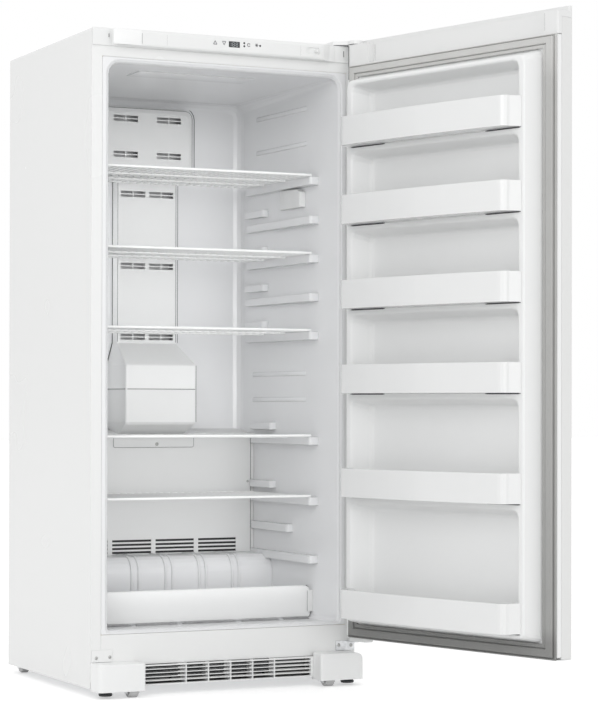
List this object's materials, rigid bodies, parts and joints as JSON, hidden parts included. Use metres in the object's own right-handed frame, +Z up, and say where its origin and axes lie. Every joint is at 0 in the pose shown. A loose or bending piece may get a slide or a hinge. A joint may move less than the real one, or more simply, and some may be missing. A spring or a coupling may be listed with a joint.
{
  "type": "upright freezer",
  "caption": "Tall white upright freezer with its right-hinged door open, wire shelves, door bins, gate, display and levelling feet.",
  "frame": {"origin": "centre of the bounding box on the floor, door standing open", "axes": "+Z up, the cabinet opens towards -Y, +X to the right as seen from the front"},
  "size_m": [0.9764, 1.3988, 1.729],
  "materials": {
    "enamel": "gloss",
    "door_enamel": "gloss",
    "liner_plastic": "satin",
    "door_liner_plastic": "satin",
    "trim_plastic": "satin",
    "bin_plastic": "gloss",
    "roller_plastic": "satin",
    "foam": "matte",
    "gasket_rubber": "matte",
    "coated_wire": "gloss",
    "zinc_steel": "satin",
    "black_steel": "satin",
    "aluminium": "satin",
    "black_plastic": "satin",
    "display_plastic": "gloss",
    "board": "satin"
  },
  "bodies": {
    "cabinet": {"base_frame": "zinc_steel", "blank_plate": "enamel", "bottom_hinge_bracket": "zinc_steel", "cabinet_foam": "foam", "cabinet_shell": "enamel", "compressor": "black_steel", "condenser_coil": "black_steel", "condenser_fan_motor": "zinc_steel", "control_board": "board", "control_fascia": "trim_plastic", "cord_inlet": "black_plastic", "defrost_heater": "zinc_steel", "display_window": "display_plastic", "drip_tray": "black_plastic", "evaporator_coil": "aluminium", "evaporator_cover": "trim_plastic", "evaporator_fan_motor": "zinc_steel", "fan_housing": "trim_plastic", "front_cross_panel": "enamel", "gate_clip_left": "trim_plastic", "gate_clip_right": "trim_plastic", "inner_liner": "liner_plastic", "kick_grille": "trim_plastic", "leg_cover_left": "trim_plastic", "leg_cover_right": "trim_plastic", "machine_rear_cover": "zinc_steel", "middle_duct": "trim_plastic", "rear_panel": "enamel", "sensor_housing": "trim_plastic", "top_hinge_bracket": "zinc_steel", "top_hinge_cover": "trim_plastic", "upper_duct_panel": "trim_plastic"},
    "door": {"door_skin": "door_enamel", "door_foam": "foam", "door_liner": "door_liner_plastic", "door_gasket": "gasket_rubber", "door_top_cap": "trim_plastic", "door_bottom_cap": "trim_plastic"},
    "bin_1": {"door_bin_1": "bin_plastic"},
    "bin_2": {"door_bin_2": "bin_plastic"},
    "bin_3": {"door_bin_3": "bin_plastic"},
    "bin_4": {"door_bin_4": "bin_plastic"},
    "bin_5": {"door_bin_5": "bin_plastic"},
    "bin_6": {"door_bin_6": "bin_plastic"},
    "rack_1": {"shelf_1": "coated_wire"},
    "rack_2": {"shelf_2": "coated_wire"},
    "rack_3": {"shelf_3": "coated_wire"},
    "rack_4": {"shelf_4": "coated_wire"},
    "rack_5": {"shelf_5": "coated_wire"},
    "gate": {"lift_gate": "trim_plastic"},
    "evaporator_rotor": {"evaporator_fan": "black_plastic"},
    "condenser_rotor": {"condenser_fan": "black_plastic"},
    "roller_fl": {"roller_front_left": "roller_plastic"},
    "roller_fr": {"roller_front_right": "roller_plastic"},
    "roller_rl": {"roller_rear_left": "roller_plastic"},
    "roller_rr": {"roller_rear_right": "roller_plastic"},
    "foot_l": {"foot_left": "black_plastic"},
    "foot_r": {"foot_right": "black_plastic"},
    "switch_plunger": {"door_switch_plunger": "trim_plastic"}
  },
  "joints": [
    {"name": "door_hinge", "type": "hinge", "parent": "cabinet", "child": "door", "pos_m": [0.25822, 0.02558, 0.92], "axis": [0, 0, 1], "range_deg": [-105.2, 12.8]},
    {"name": "bin_1_lift", "type": "slide", "parent": "door", "child": "bin_1", "axis": [0, 0, 1], "range_m": [0, 0.03]},
    {"name": "bin_2_lift", "type": "slide", "parent": "door", "child": "bin_2", "axis": [0, 0, 1], "range_m": [0, 0.03]},
    {"name": "bin_3_lift", "type": "slide", "parent": "door", "child": "bin_3", "axis": [0, 0, 1], "range_m": [0, 0.03]},
    {"name": "bin_4_lift", "type": "slide", "parent": "door", "child": "bin_4", "axis": [0, 0, 1], "range_m": [0, 0.03]},
    {"name": "bin_5_lift", "type": "slide", "parent": "door", "child": "bin_5", "axis": [0, 0, 1], "range_m": [0, 0.03]},
    {"name": "bin_6_lift", "type": "slide", "parent": "door", "child": "bin_6", "axis": [0, 0, 1], "range_m": [0, 0.03]},
    {"name": "shelf_1_slide", "type": "slide", "parent": "cabinet", "child": "rack_1", "axis": [0, -1, 0], "range_m": [0, 0.18]},
    {"name": "shelf_2_slide", "type": "slide", "parent": "cabinet", "child": "rack_2", "axis": [0, -1, 0], "range_m": [0, 0.18]},
    {"name": "shelf_3_slide", "type": "slide", "parent": "cabinet", "child": "rack_3", "axis": [0, -1, 0], "range_m": [0, 0.18]},
    {"name": "shelf_4_slide", "type": "slide", "parent": "cabinet", "child": "rack_4", "axis": [0, -1, 0], "range_m": [0, 0.18]},
    {"name": "shelf_5_slide", "type": "slide", "parent": "cabinet", "child": "rack_5", "axis": [0, -1, 0], "range_m": [0, 0.18]},
    {"name": "gate_lift", "type": "slide", "parent": "cabinet", "child": "gate", "axis": [0, 0, 1], "range_m": [0, 0.058]},
    {"name": "evaporator_fan_spin", "type": "hinge", "parent": "cabinet", "child": "evaporator_rotor", "pos_m": [-0.10817, 0.56038, 0.79], "axis": [0, 1, 0], "continuous": true},
    {"name": "condenser_fan_spin", "type": "hinge", "parent": "cabinet", "child": "condenser_rotor", "pos_m": [-0.15818, 0.59538, 0.1093], "axis": [1, 0, 0], "continuous": true},
    {"name": "roller_fl_spin", "type": "hinge", "parent": "cabinet", "child": "roller_fl", "pos_m": [-0.38817, 0.01738, 0.0176], "axis": [1, 0, 0], "continuous": true},
    {"name": "roller_fr_spin", "type": "hinge", "parent": "cabinet", "child": "roller_fr", "pos_m": [0.17183, 0.01738, 0.0176], "axis": [1, 0, 0], "continuous": true},
    {"name": "roller_rl_spin", "type": "hinge", "parent": "cabinet", "child": "roller_rl", "pos_m": [-0.45617, 0.65538, 0.02], "axis": [1, 0, 0], "continuous": true},
    {"name": "roller_rr_spin", "type": "hinge", "parent": "cabinet", "child": "roller_rr", "pos_m": [0.23983, 0.65538, 0.02], "axis": [1, 0, 0], "continuous": true},
    {"name": "foot_l_screw", "type": "slide", "parent": "cabinet", "child": "foot_l", "axis": [0, 0, -1], "range_m": [0, 0.012]},
    {"name": "foot_r_screw", "type": "slide", "parent": "cabinet", "child": "foot_r", "axis": [0, 0, -1], "range_m": [0, 0.012]},
    {"name": "door_switch", "type": "slide", "parent": "cabinet", "child": "switch_plunger", "axis": [0, 1, 0], "range_m": [0, 0.004], "stiffness_N_per_m": 400, "springref_m": -0.002}
  ]
}
